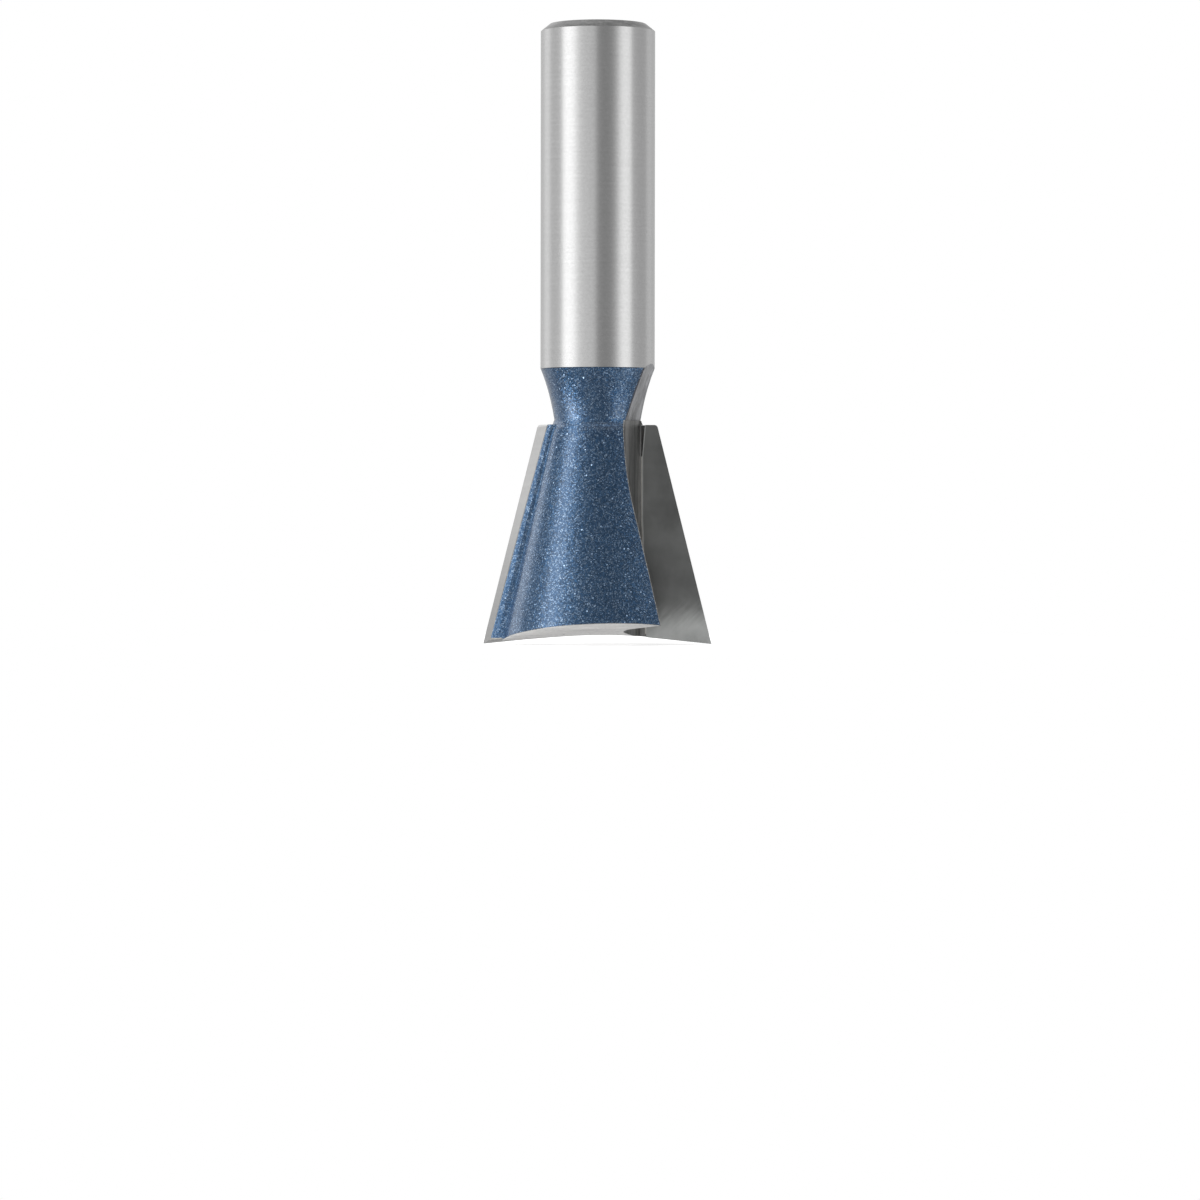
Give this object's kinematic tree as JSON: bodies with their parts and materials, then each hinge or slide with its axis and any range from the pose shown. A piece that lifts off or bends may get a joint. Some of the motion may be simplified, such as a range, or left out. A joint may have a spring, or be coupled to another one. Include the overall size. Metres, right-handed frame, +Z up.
{
  "type": "dovetail router bit",
  "caption": "Dovetail cutter for a hand-held router: straight shank, waisted neck and a flared head whose brazed carbide tips undercut a slot.",
  "frame": {"origin": "on the axis of rotation, in the plane of the two tip corners at the cutting end", "axes": "+Z up the axis from the cutting end to the shank; +X along the right-hand tip's rake face; +Y behind that face, so the rake face looks towards -Y"},
  "size_m": [0.0254, 0.0206, 0.0688],
  "materials": {
    "body_steel": "fine ground shank; neck and head in blue metal-flake paint; gullets, seats and lobe ends milled bare",
    "tip_carbide": "fine ground cemented carbide, dark and satin",
    "braze_filler": "pale silver braze, dull"
  },
  "bodies": {
    "root": {"steel_body": "body_steel", "carbide_tip_right": "tip_carbide", "carbide_tip_left": "tip_carbide", "braze_layer_right": "braze_filler", "braze_layer_left": "braze_filler"}
  },
  "joints": []
}
